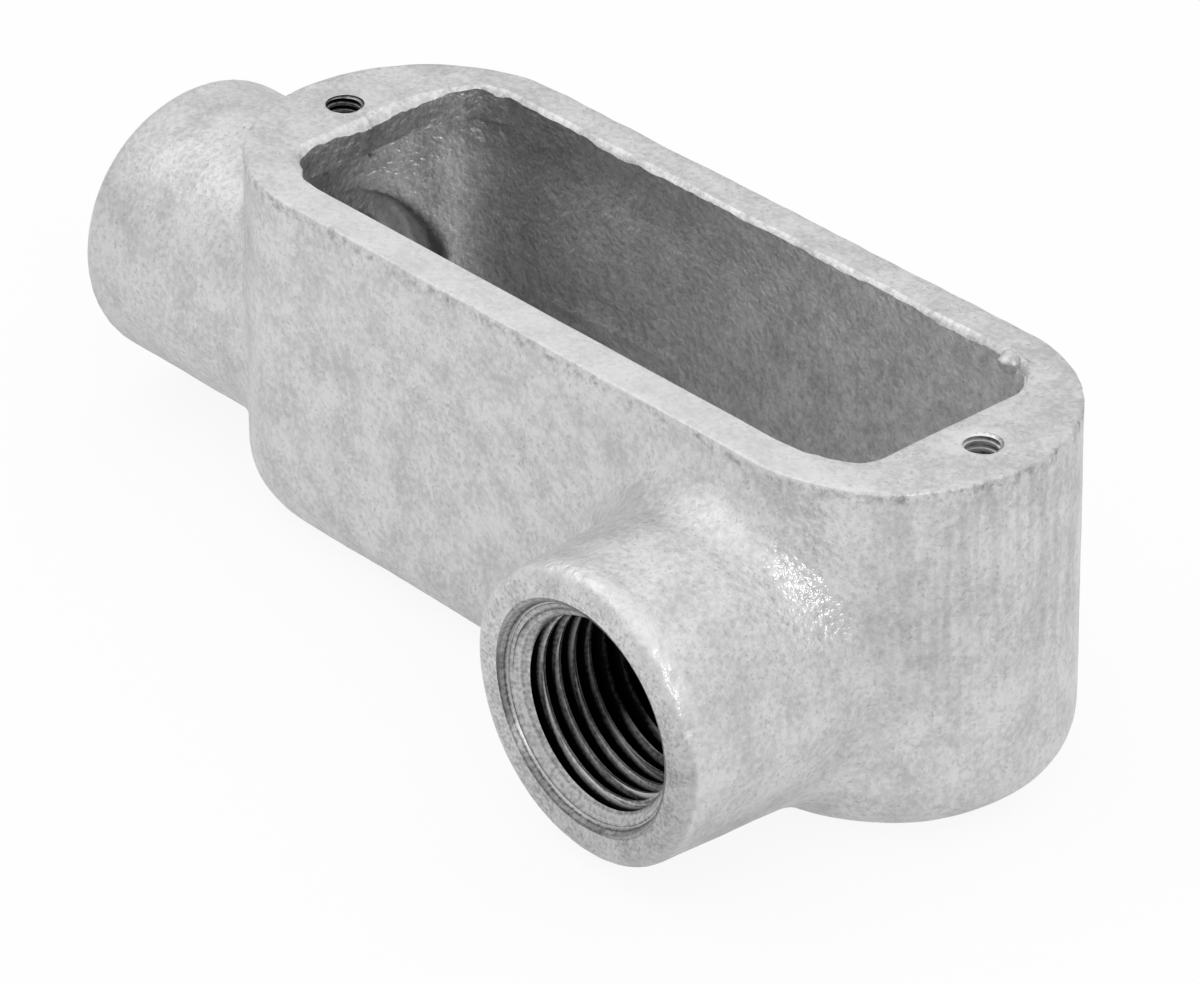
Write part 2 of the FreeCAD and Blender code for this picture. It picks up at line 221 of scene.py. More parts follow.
def makeZincSkin():
    material, tree = newMaterial("galvanised_malleable_iron")
    z = zincSettings
    place = addNode(tree, "ShaderNodeTexCoord").outputs["Object"]
    skin = addMottle(tree, place, z["pale"], z["dull"])
    # painted light and shade: the chamber's corners are painted darker and its open floor and end lighter; the
    # same mask darkens the hubs' undersides and a stain
    paintedLightShadeStain = addNode(tree, "ShaderNodeAttribute", attribute_name="paintedLightShadeStain")
    shaded = addNode(tree, "ShaderNodeMix", {"Factor": 1.0, 6: skin, 7: paintedLightShadeStain.outputs["Fac"]},
                     data_type="RGBA", blend_type="MULTIPLY")
    # the chamber's sand-cast wall is blotched at about 1 mm
    chamber = addNode(tree, "ShaderNodeAttribute", attribute_name="chamber")
    blotch = addNode(tree, "ShaderNodeTexNoise", {
        "Vector": place, "Scale": patternScales["blotch"], "Detail": 5.0, "Roughness": 0.7})
    depth = addNode(tree, "ShaderNodeMapRange", {
        "Value": blotch.outputs["Fac"], 1: 0.3, 2: 0.7, 3: 0.8, 4: 1.22})
    inside = addNode(tree, "ShaderNodeMix", {
        "Factor": chamber.outputs["Fac"], 6: shaded.outputs[2], 7: depth.outputs[0]},
        data_type="RGBA", blend_type="MULTIPLY")
    # upright runs about 0.8 mm apart mark the closed end, and the flange's top face is painted a little darker
    # than the sides, a painted shade for how the top is lit
    flangeTopShade = addNode(tree, "ShaderNodeAttribute", attribute_name="flangeTopShade")
    stretch = addNode(tree, "ShaderNodeMapping", {"Vector": place, "Scale": (1.0, 1.0, z["runStretch"])})
    runs = addNode(tree, "ShaderNodeTexNoise", {
        "Vector": stretch.outputs[0], "Scale": patternScales["runs"], "Detail": 3.0})
    runDepth = addNode(tree, "ShaderNodeMapRange", {
        "Value": runs.outputs["Fac"], 1: 0.4, 2: 0.62, 3: 0.85, 4: 1.0})
    streak = addNode(tree, "ShaderNodeAttribute", attribute_name="streak")
    streaked = addNode(tree, "ShaderNodeMix", {
        "Factor": streak.outputs["Fac"], 6: inside.outputs[2], 7: runDepth.outputs[0]},
        data_type="RGBA", blend_type="MULTIPLY")
    topShaded = addNode(tree, "ShaderNodeMix", {
        "Factor": flangeTopShade.outputs["Fac"], 6: (1.0, 1.0, 1.0, 1.0), 7: linearColour(z["flange"])},
        data_type="RGBA")
    final = addNode(tree, "ShaderNodeMix", {"Factor": 1.0, 6: streaked.outputs[2], 7: topShaded.outputs[2]},
                    data_type="RGBA", blend_type="MULTIPLY")
    # painted shadow in a ragged line under the flange's edge, and a dark spot beside the drip in the far corner
    paintedEdgeShade = addNode(tree, "ShaderNodeAttribute", attribute_name="paintedEdgeShade")
    shreds = addNode(tree, "ShaderNodeTexNoise", {
        "Vector": place, "Scale": patternScales["shreds"], "Detail": 5.0, "Roughness": 0.7})
    brokenShade = addNode(tree, "ShaderNodeMapRange", {
        "Value": shreds.outputs["Fac"], 1: 0.47, 2: 0.62, 3: 0.0, 4: z["edgeShadowShare"]})
    edgeShadow = addNode(tree, "ShaderNodeMath", {
        0: brokenShade.outputs[0], 1: paintedEdgeShade.outputs["Fac"]}, operation="MULTIPLY")
    edgeShaded = addNode(tree, "ShaderNodeMix", {
        "Factor": edgeShadow.outputs[0], 6: final.outputs[2], 7: linearColour(z["edgeShadow"])}, data_type="RGBA")
    # painted highlights along the side hub's face edge and on the right screw hole's rim, and a lighter strip
    # along the flange top's near side
    paintedSheenAndWear = addNode(tree, "ShaderNodeAttribute", attribute_name="paintedSheenAndWear")
    lightened = addNode(tree, "ShaderNodeMix", {
        "Factor": paintedSheenAndWear.outputs["Fac"], 6: edgeShaded.outputs[2], 7: linearColour(z["thickZincAndSheen"])}, data_type="RGBA")
    # fine grain everywhere, and coarser crystals of about 1 mm where the zinc ran thick
    thickZincAndSheen = addNode(tree, "ShaderNodeAttribute", attribute_name="thickZincAndSheen")
    grain = addNode(tree, "ShaderNodeTexNoise", {
        "Vector": place, "Scale": patternScales["fine"], "Detail": 4.0})
    crystals = addNode(tree, "ShaderNodeTexNoise", {
        "Vector": place, "Scale": patternScales["crystals"], "Detail": 2.0})
    fine = addNode(tree, "ShaderNodeBump", {
        "Height": grain.outputs["Fac"], "Strength": 0.5, "Distance": 0.13 * mm})
    rough = addNode(tree, "ShaderNodeMath", {
        0: thickZincAndSheen.outputs["Fac"], 1: chamber.outputs["Fac"]}, operation="MAXIMUM")
    coarse = addNode(tree, "ShaderNodeBump", {
        "Height": crystals.outputs["Fac"], "Strength": rough.outputs[0], "Distance": 0.3 * mm,
        "Normal": fine.outputs[0]})
    gloss = addNode(tree, "ShaderNodeMapRange", {
        "Value": thickZincAndSheen.outputs["Fac"], 1: 0.0, 2: 1.0, 3: z["roughness"], 4: z["thickRoughness"]})
    shader = addNode(tree, "ShaderNodeBsdfPrincipled", {
        "Base Color": lightened.outputs[2], "Metallic": z["metallic"], "Roughness": gloss.outputs[0],
        "Normal": coarse.outputs[0]})
    addNode(tree, "ShaderNodeOutputMaterial", {"Surface": shader.outputs["BSDF"]})
    return material


def makeCutThread():
    material, tree = newMaterial("cut_iron_thread")
    iron = ironSettings
    place = addNode(tree, "ShaderNodeTexCoord").outputs["Object"]
    crest = addNode(tree, "ShaderNodeAttribute", attribute_name="crest")
    turned = addNode(tree, "ShaderNodeAttribute", attribute_name="turned")
    # tool marks about 0.2 mm apart round the bore, broken up by grit of 0.4 mm
    marks = addNode(tree, "ShaderNodeTexNoise", {
        "W": turned.outputs["Fac"], "Scale": patternScales["toolMarks"], "Detail": 3.0},
                    noise_dimensions="1D")
    grit = addNode(tree, "ShaderNodeTexNoise", {
        "Vector": place, "Scale": patternScales["grit"], "Detail": 3.0})
    both = addNode(tree, "ShaderNodeMath", {0: grit.outputs["Fac"], 1: 0.55, 2: marks.outputs["Fac"]},
                   operation="MULTIPLY_ADD")
    worn = addNode(tree, "ShaderNodeMapRange", {"Value": both.outputs[0], 1: 0.58, 2: 0.88, 3: 0.3, 4: 1.0})
    shine = addNode(tree, "ShaderNodeMath", {
        0: crest.outputs["Fac"], 1: worn.outputs[0]}, operation="MULTIPLY")
    # painted shade: the crest mask takes the colour to almost black in the grooves and deep in the bores
    ramp = addNode(tree, "ShaderNodeValToRGB", {"Fac": shine.outputs[0]})
    setStops(ramp, iron["stops"], (iron["root"], iron["crest"]))
    bump = addNode(tree, "ShaderNodeBump", {
        "Height": both.outputs[0], "Strength": 0.4, "Distance": 0.05 * mm})
    shader = addNode(tree, "ShaderNodeBsdfPrincipled", {
        "Base Color": ramp.outputs["Color"], "Metallic": iron["metallic"], "Roughness": iron["roughness"],
        "Normal": bump.outputs[0]})
    addNode(tree, "ShaderNodeOutputMaterial", {"Surface": shader.outputs["BSDF"]})
    return material


def makeWornEdge():
    # the zinc rubbed to a brighter face on the edge of the opening
    material, tree = newMaterial("worn_zinc_edge")
    z = zincSettings
    place = addNode(tree, "ShaderNodeTexCoord").outputs["Object"]
    grain = addNode(tree, "ShaderNodeTexNoise", {
        "Vector": place, "Scale": patternScales["worn"], "Detail": 3.0})
    bump = addNode(tree, "ShaderNodeBump", {
        "Height": grain.outputs["Fac"], "Strength": 0.6, "Distance": 0.2 * mm})
    paintedSheenAndWear = addNode(tree, "ShaderNodeAttribute", attribute_name="paintedSheenAndWear")
    bright = addNode(tree, "ShaderNodeMix", {
        "Factor": paintedSheenAndWear.outputs["Fac"], 6: addMottle(tree, place, z["wornPale"], z["wornDull"]),
        7: linearColour(z["bright"])}, data_type="RGBA")
    shader = addNode(tree, "ShaderNodeBsdfPrincipled", {
        "Base Color": bright.outputs[2], "Metallic": z["wornMetallic"], "Roughness": z["roughness"],
        "Normal": bump.outputs[0]})
    addNode(tree, "ShaderNodeOutputMaterial", {"Surface": shader.outputs["BSDF"]})
    return material


zincSkin = makeZincSkin()
cutThread = makeCutThread()
wornEdge = makeWornEdge()

# half inch pipe thread, 14 turns to the inch, tapered one in sixteen, and the number 8 screw's, 32 to the inch
pipeThread = {
    "pitch": 1.814, "rootRadius": 10.5, "boreRadius": 9.3, "shoulder": 9.24, "coreRadius": 9.1,
    "rootFlat": 0.15, "flank": 30.0, "taper": 1 / 32, "turnSteps": 72, "startTurn": 2.0, "mouthRadius": 11.8,
    "recessRadius": 10.95, "recessDepth": 1.35, "landMouthRadius": 10.65, "landRadius": 9.55, "landDepth": 2.3,
    "landChamfer": 0.3, "bushingRadius": 7.95, "overrun": 0.8, "threadEnd": 0.4,
}
screwThread = {
    "pitch": 0.794, "rootRadius": 2.02, "boreRadius": 1.66, "shoulder": 1.64, "coreRadius": 1.56,
    "rootFlat": 0.1, "flank": 30.0, "taper": 0.0, "turnSteps": 40, "startTurn": 0.0, "mouthRadius": 1.95,
    "depth": 6.0, "threaded": 4.6,
}
# stoppers that fill the model's own bores before they are cut again
plugSettings = {
    "radius": 9.6, "mouthRadius": 12.2, "mouthDepth": 3.2, "overrun": 0.2,
    "screwRadius": 2.0, "screwDepth": 3.7,
}

# how the sand mould and the zinc left the iron, all sizes in millimetres
castSettings = {
    "voxel": 0.5, "keptShare": 0.5, "stock": 1.0, "swell": 0.10, "swellSize": 9.0, "dimple": 0.025,
    "dimpleSize": 1.8, "pebble": 0.12, "pebbleSize": 1.9, "edgePit": 0.5, "edgePitSize": 0.9,
    "hubLean": 0.6, "baseLift": 0.4, "lipWave": 0.25, "lipWaveSize": 6.0, "seam": 0.25, "topWave": 0.06,
    "ridgeDent": 0.25, "ridgeDentSize": 1.6, "edgePitFloor": 0.22, "seamLevel": 16.9, "seamSlope": 0.046,
    "seamStation": -20, "sliver": 0.0005,
}
# a drip of zinc in the far corner of the opening and a spur of flash under the left lip: middle and radii
lumps = [
    ((34.9, 13.1, 37.5), (1.25, 1.0, 0.95), wornEdge),
    ((36.1, 13.2, 36.1), (0.6, 0.55, 1.3), zincSkin),
    ((-40.9, 0.2, 34.15), (0.35, 0.3, 0.75), zincSkin),
]
# the opening's wall is moved above the first height, and fully above the second; off the wall the move fades
cornerSettings = {"heights": (31.5, 34.0), "along": 30, "gap": (2.2, 0.8), "turns": (-30.0, 120.0), "perMm": 9}
# away from the corners, the points of the lip's lower edges all move to one half width, in millimetres
easeSettings = {"faceBand": 0.45, "edgeBand": 0.8, "from": 12.9, "to": 14.5, "wallAt": 13.95, "fullFrom": 34.0}
# how far each corner of the opening departs inwards from its plain arc, by degrees of turn from the end wall
cornerShifts = {
    (1, -1): [(-30, -0.3), (6, -0.43), (27, -0.28), (48, 0.4), (74, 0.73), (90, 0.35), (120, 0.0)],
    (1, 1): [(-30, -0.3), (10, -0.3), (40, 0.0), (120, 0.0)],
    (-1, -1): [(-30, -0.4), (0, -0.2), (30, 0.6), (60, 1.0), (85, 0.3), (110, 0.0)],
    (-1, 1): [(-30, -0.7), (-10, -0.5), (5, -0.1), (35, -0.1), (50, -0.7), (68, -0.15), (110, 0.0)],
}


def chamberShare(p):
    # 1 on the chamber's walls and floor, 0 outside, fading over the wall's thickness
    wall = slotDistance(p.x, p.y, body["chamberHalfLength"], body["chamberHalfWidth"])
    return smoothStep(2.2, 1.0, wall) * smoothStep(1.4, 2.6, p.z) * smoothStep(38.19, 37.95, p.z)


def shiftCadPoint(p):
    # leaves stock on the flange for the flat cut, and eases the opening to the cored shape in the photograph
    b = body
    e = easeSettings
    shifted = p.copy()
    if p.z > b["flangeHeight"] - e["faceBand"]:
        shifted.z += castSettings["stock"]
    onEdge = abs(p.z - b["flangeHeight"] + b["lipDepth"]) < e["edgeBand"]
    if onEdge and e["from"] < abs(p.y) < e["to"]:
        ease = smoothStep(b["openingHalfLength"], e["fullFrom"], abs(p.x))
        shifted.y += (math.copysign(e["wallAt"], p.y) - p.y) * ease
    return shifted


def cornerShift(p):
    # the outward move of the opening's wall near its corners and ends, for a point close to it
    s = cornerSettings
    if p.z < s["heights"][0] or abs(p.x) < s["along"]:
        return Vector((0, 0, 0))
    way = (math.copysign(1, p.x), math.copysign(1, p.y))
    middle = Vector((body["openingHalfLength"] - body["openingCorner"],
                     body["openingHalfWidth"] - body["openingCorner"]))
    across = Vector((abs(p.x), abs(p.y))) - middle
    if across.x > 0 and across.y > 0:
        gap = across.length - body["openingCorner"]
        turn = math.degrees(math.atan2(across.y, across.x))
        outwards = across.normalized()
    elif across.x > across.y:
        gap = across.x - body["openingCorner"]
        turn = max(s["turns"][0], across.y * s["perMm"])
        outwards = Vector((1, 0))
    else:
        gap = across.y - body["openingCorner"]
        turn = min(s["turns"][1], 90 - across.x * s["perMm"])
        outwards = Vector((0, 1))
    turns, moves = zip(*cornerShifts[int(way[0]), int(way[1])])
    move = -float(numpy.interp(turn, turns, moves))
    move *= smoothStep(*s["gap"], abs(gap)) * smoothStep(*s["heights"], p.z)
    return Vector((outwards.x * way[0], outwards.y * way[1], 0)) * move


def sculptCasting(bm):
    # moves each vertex along its normal for the rough skin, then leans the faces that are out of square
    c = castSettings
    bm.normal_update()
    # each texture reads its own stretch of the noise
    for vert in bm.verts:
        p = vert.co / mm
        chamber = chamberShare(p)
        rim = slotDistance(p.x, p.y, body["flangeHalfLength"], body["flangeHalfWidth"])
        swell = c["swell"] * noise.noise(p / c["swellSize"])
        dimple = c["dimple"] * noise.noise(p / c["dimpleSize"] + Vector((7, 3, 5)))
        pebble = c["pebble"] * noise.noise(p / c["pebbleSize"] + Vector((1, 9, 4)))
        pit = c["edgePit"] * max(0.0, noise.noise(p / c["edgePitSize"] + Vector((4, 2, 8))) - c["edgePitFloor"])
        nearRim = smoothStep(1.0, 0.2, abs(rim)) * smoothStep(36.9, 37.9, p.z)
        lipWave = c["lipWave"] * noise.noise(p / c["lipWaveSize"] + Vector((3, 3, 3)))
        offSeam = abs(p.z - c["seamLevel"] - c["seamSlope"] * (p.x - c["seamStation"]))
        seam = c["seam"] * smoothStep(0.7, 0.1, offSeam) * (
            smoothStep(-36, -30, p.x) * smoothStep(-4, -10, p.x) * smoothStep(12, 13, p.y))
        push = (1 - chamber) * (swell + dimple) + chamber * (pebble + 0.5 * swell + seam) - nearRim * pit
        push += lipWave * chamber * smoothStep(33.5, 35.5, p.z)
        fromAxis = Vector((p.x - body["sideStation"], p.z - body["axisHeight"]))
        turn = math.degrees(math.atan2(fromAxis.y, fromAxis.x))
        ridge = smoothStep(1.6, 0.6, abs(p.y + body["sideReach"] - 1.3)) * smoothStep(11.5, 13, fromAxis.length)
        ridge *= smoothStep(5, 25, turn) * smoothStep(128, 112, turn)
        push += c["ridgeDent"] * ridge * noise.noise(p / c["ridgeDentSize"] + Vector((5, 5, 1)))
        lower = ((body["sideStation"] - p.x) + (body["axisHeight"] - p.z)) / math.sqrt(2) / body["hubRadius"]
        lean = c["hubLean"] * max(0.0, lower) * smoothStep(-26, -34.5, p.y)
        lift = c["baseLift"] * smoothStep(18, 40, p.x) * smoothStep(7, 0, p.z) * smoothStep(-19, -16, p.y)
        vert.co += (vert.normal * push + Vector((0, lean, lift)) + cornerShift(p)) * mm
        # the base stays on the floor
        vert.co.z = max(vert.co.z, 0.0)


def flangeCutter():
    # a slab over the flange with a slightly wavy underside, which leaves the flange face and its crisp edge
    halfLength, halfWidth, thickness, waveSize = 56, 20, 4, 7
    bm = bmesh.new()
    bmesh.ops.create_grid(bm, x_segments=halfLength, y_segments=halfWidth, size=1.0)
    for vert in bm.verts:
        x, y = vert.co.x * halfLength, vert.co.y * halfWidth
        wave = castSettings["topWave"] * noise.noise(Vector((x / waveSize, y / waveSize, 2)))
        vert.co = (x * mm, y * mm, (body["flangeHeight"] + wave) * mm)
    upper = bmesh.ops.extrude_face_region(bm, geom=bm.faces[:])["geom"]
    for vert in upper:
        if isinstance(vert, bmesh.types.BMVert):
            vert.co.z = (body["flangeHeight"] + thickness) * mm
    bmesh.ops.recalc_face_normals(bm, faces=bm.faces)
    return bm


def roundedPoint(along, halfLength, halfWidth, corner, out):
    # a point at a share of the way round a rectangle with round corners, moved outwards
    straight = Vector((halfLength - corner, halfWidth - corner))
    quarter = corner * math.pi / 2
    # right end, corner, far side, corner, left end, corner, near side, corner
    lengths = [2 * straight.y, quarter, 2 * straight.x, quarter] * 2
    rest = along * sum(lengths)
    side = 0
    while side < 7 and rest > lengths[side]:
        rest -= lengths[side]
        side += 1
    turn = side // 2 * math.pi / 2
    ahead = Vector((-math.sin(turn), math.cos(turn)))
    outwards = Vector((math.cos(turn), math.sin(turn)))
    middle = Vector([reach * (1 if way > 0 else -1) for reach, way in zip(straight, outwards + ahead)])
    if side % 2:
        bend = rest / corner
        outwards = outwards * math.cos(bend) + ahead * math.sin(bend)
    else:
        middle = middle - ahead * (lengths[side] - rest)
    return middle + outwards * (corner + out)


def edgeCutter(outline, section, points):
    # a closed ring along an outline on the flange, whose section (out, height) cuts one edge
    bm = bmesh.new()
    levels = len(section(outline(0.0, 0.0)))
    bmesh.ops.create_grid(bm, x_segments=points, y_segments=levels, size=1.0)
    for vert in bm.verts:
        along = (vert.co.x + 1) / 2
        corners = section(outline(along, 0.0))
        out, height = corners[round((vert.co.y + 1) / 2 * levels) % levels]
        spot = outline(along, out)
        vert.co = (spot.x * mm, spot.y * mm, (body["flangeHeight"] + height) * mm)
    bmesh.ops.remove_doubles(bm, verts=bm.verts, dist=1e-6)
    bmesh.ops.recalc_face_normals(bm, faces=bm.faces)
    return bm


# the rubbed, ragged edges of the flange: width and depth in millimetres by side of the opening, and outside
wearSettings = {
    "far": (0.6, 1.0), "left": (0.8, 0.95), "near": (0.2, 0.25), "right": (0.15, 0.2), "outer": (0.22, 0.24),
    "ragged": 0.24, "raggedSize": 0.7, "slow": 0.25, "slowSize": 5.0,
    "curve": [(-0.15, -1.05), (0.3, -0.5), (0.75, -0.15), (1.4, 0.1)], "airHeight": 1.2, "airWidth": 1.6,
    "outerChange": 0.8, "outerSize": 3, "outerSteps": 900, "openingSteps": 700, "softShare": 0.5,
}


def wearSection(width, depth, spot, side):
    # the worn curve scaled to a place, closed by corners in the air; side is 1 for the opening, -1 for outside
    w = wearSettings
    ragged = noise.noise(Vector((spot.x, spot.y, 0)) / w["raggedSize"])
    slow = noise.noise(Vector((spot.x, spot.y, 9)) / w["slowSize"])
    width *= 1 + w["slow"] * slow
    depth *= 1 + w["slow"] * slow + w["ragged"] * ragged
    curve = [(out * width * side, height * depth) for out, height in w["curve"]]
    behind = -w["airWidth"] * side
    return curve + [(curve[-1][0], w["airHeight"]), (behind, w["airHeight"]), (behind, curve[0][1])]


def openingSection(spot):
    # blended from the wear of the four sides, with half of it in the far left corner
    w = wearSettings
    left = smoothStep(-36.5, -39.5, spot.x) * smoothStep(-12.5, -9.0, spot.y)
    corner = smoothStep(4.5, 1.5, (spot - Vector((-39.5, 11.5))).length)
    right = smoothStep(36.5, 39.5, spot.x)
    far = smoothStep(-2, 9, spot.y) * (1 - left - right)
    shares = {"far": far, "left": left, "right": right, "near": 1 - far - left - right}
    scale = 1 - w["softShare"] * corner
    width, depth = [sum(w[side][k] * share for side, share in shares.items()) * scale for k in (0, 1)]
    return wearSection(width, depth, spot, 1)


def outerSection(spot):
    w = wearSettings
    worn = 1 + w["outerChange"] * noise.noise(Vector((spot.x, spot.y, 4)) / w["outerSize"])
    width, depth = w["outer"]
    return wearSection(width * worn, depth * worn, spot, -1)


def openingOutline(along, out):
    size = [body[name] for name in ("openingHalfLength", "openingHalfWidth", "openingCorner")]
    plain = roundedPoint(along, *size, 0.0)
    return roundedPoint(along, *size, out) + cornerShift(Vector((plain.x, plain.y, 36.0))).xy


def flangeOutline(along, out):
    # the corners stop a hair short of the half width, which leaves each end a straight side to start from
    size = (body["flangeHalfLength"], body["flangeHalfWidth"], body["flangeHalfWidth"] - 0.01)
    return roundedPoint(along, *size, out)


def joinMesh(bm, extra):
    part = bpy.data.meshes.new("part")
    extra.to_mesh(part)
    extra.free()
    bm.from_mesh(part)
    bpy.data.meshes.remove(part)


def makeRough():
    # the model's own solid with its bores stopped up, made into one even skin
    bm = bmesh.new()
    bm.from_mesh(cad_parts["conduit_body"].data)
    bmesh.ops.remove_doubles(bm, verts=bm.verts, dist=1e-6)
    for vert in bm.verts:
        vert.co = shiftCadPoint(vert.co / mm) * mm
    s = plugSettings
    for name, place in hubFrames.items():
        plug = lathe([(-boreDepths[name] - s["overrun"], s["radius"]), (-s["mouthDepth"], s["radius"]),
                      (-s["mouthDepth"], s["mouthRadius"]), (0.0, s["mouthRadius"])], 96)
        plug.transform(place)
        joinMesh(bm, plug)
    for place in screwFrames:
        plug = lathe([(-s["screwDepth"], s["screwRadius"]), (castSettings["stock"], s["screwRadius"])], 32)
        plug.transform(place)
        joinMesh(bm, plug)
    piece = finishPiece(bm, "casting", zincSkin)
    remesh = piece.modifiers.new("grain", "REMESH")
    remesh.mode = "VOXEL"
    remesh.voxel_size = castSettings["voxel"] * mm
    remesh.use_smooth_shade = True
    bakeModifiers(piece)
    print("casting: remeshed", len(piece.data.polygons), "faces")
    bm = bmesh.new()
    bm.from_mesh(piece.data)
    sculptCasting(bm)
    bm.to_mesh(piece.data)
    bm.free()
    thin = piece.modifiers.new("thin", "DECIMATE")
    thin.ratio = castSettings["keptShare"]
    bakeModifiers(piece)
    print("casting: sculpted", len(piece.data.polygons), "faces")
    return piece


def makeCasting():
    # the rough casting, the cuts that the machines made, the worn edges and the lumps
    piece = makeRough()
    combine(piece, finishPiece(flangeCutter(), "slab", zincSkin))
    t = pipeThread
    for name, place in hubFrames.items():
        depth = boreDepths[name]
        boreStart = t["landDepth"] + t["landChamfer"]
        cutter = lathe([(-depth - t["overrun"], t["bushingRadius"]), (-depth, t["bushingRadius"]),
                        (-depth, t["boreRadius"] - depth * t["taper"]),
                        (-boreStart, t["boreRadius"] - boreStart * t["taper"]),
                        (-t["landDepth"], t["landRadius"]),
                        (-t["recessDepth"], t["landMouthRadius"]), (-t["recessDepth"], t["recessRadius"]),
                        (-0.25, t["mouthRadius"] - 0.35), (0.6, t["mouthRadius"] + 1.2)], 128)
        cutter.transform(place)
        combine(piece, finishPiece(cutter, "cutter", cutThread))
        coil = threadCoil(t, depth - t["threadEnd"])
        coil.transform(place)
        combine(piece, finishPiece(coil, "coil", cutThread))
        print("casting:", name, "bore cut", len(piece.data.polygons), "faces")
    s = screwThread
    for place in screwFrames:
        cutter = lathe([(-s["depth"], s["boreRadius"]), (-0.25, s["boreRadius"]), (0.0, s["mouthRadius"]),
                        (0.5, s["mouthRadius"] + 0.5)], 48)
        cutter.transform(place)
        combine(piece, finishPiece(cutter, "cutter", cutThread))
        coil = threadCoil(s, s["threaded"])
        coil.transform(place)
        combine(piece, finishPiece(coil, "coil", cutThread))
    print("casting: screw holes cut", len(piece.data.polygons), "faces")
    rim = edgeCutter(flangeOutline, outerSection, wearSettings["outerSteps"])
    combine(piece, finishPiece(rim, "rim", zincSkin))
    print("casting: outer edge worn", len(piece.data.polygons), "faces")
    rim = edgeCutter(openingOutline, openingSection, wearSettings["openingSteps"])
    combine(piece, finishPiece(rim, "rim", wornEdge))
    print("casting: edges worn", len(piece.data.polygons), "faces")
    for middle, radii, material in lumps:
        lump = bmesh.new()
        bmesh.ops.create_icosphere(lump, subdivisions=3, radius=1.0)
        for vert in lump.verts:
            vert.co *= 1 + 0.25 * noise.noise(vert.co * 1.7 + Vector(middle))
        lump.transform(Matrix.LocRotScale(Vector(middle) * mm, None, Vector(radii) * mm))
        combine(piece, finishPiece(lump, "lump", material), "UNION")
    return piece


def patchShare(spots, middle, radii, reach):
    # 1 inside a rounded patch, falling to 0 at reach times its radii
    return numpy.clip(reach - numpy.linalg.norm((spots - middle) / radii, axis=1), 0, 1)


# patches of thick, sparkling zinc and of a stain: middle and radii in millimetres, and the reach in radii
zincPatches = {
    "sparkle": ((40.5, -17.5, 26.0), (6.5, 6.0, 10.5), 1.35),
    "endTop": ((-60.0, -8.0, 28.0), (10.0, 8.0, 8.0), 1.3),
    "stain": ((47.0, -12.0, 24.0), (5.0, 6.0, 7.0), 1.5),
}


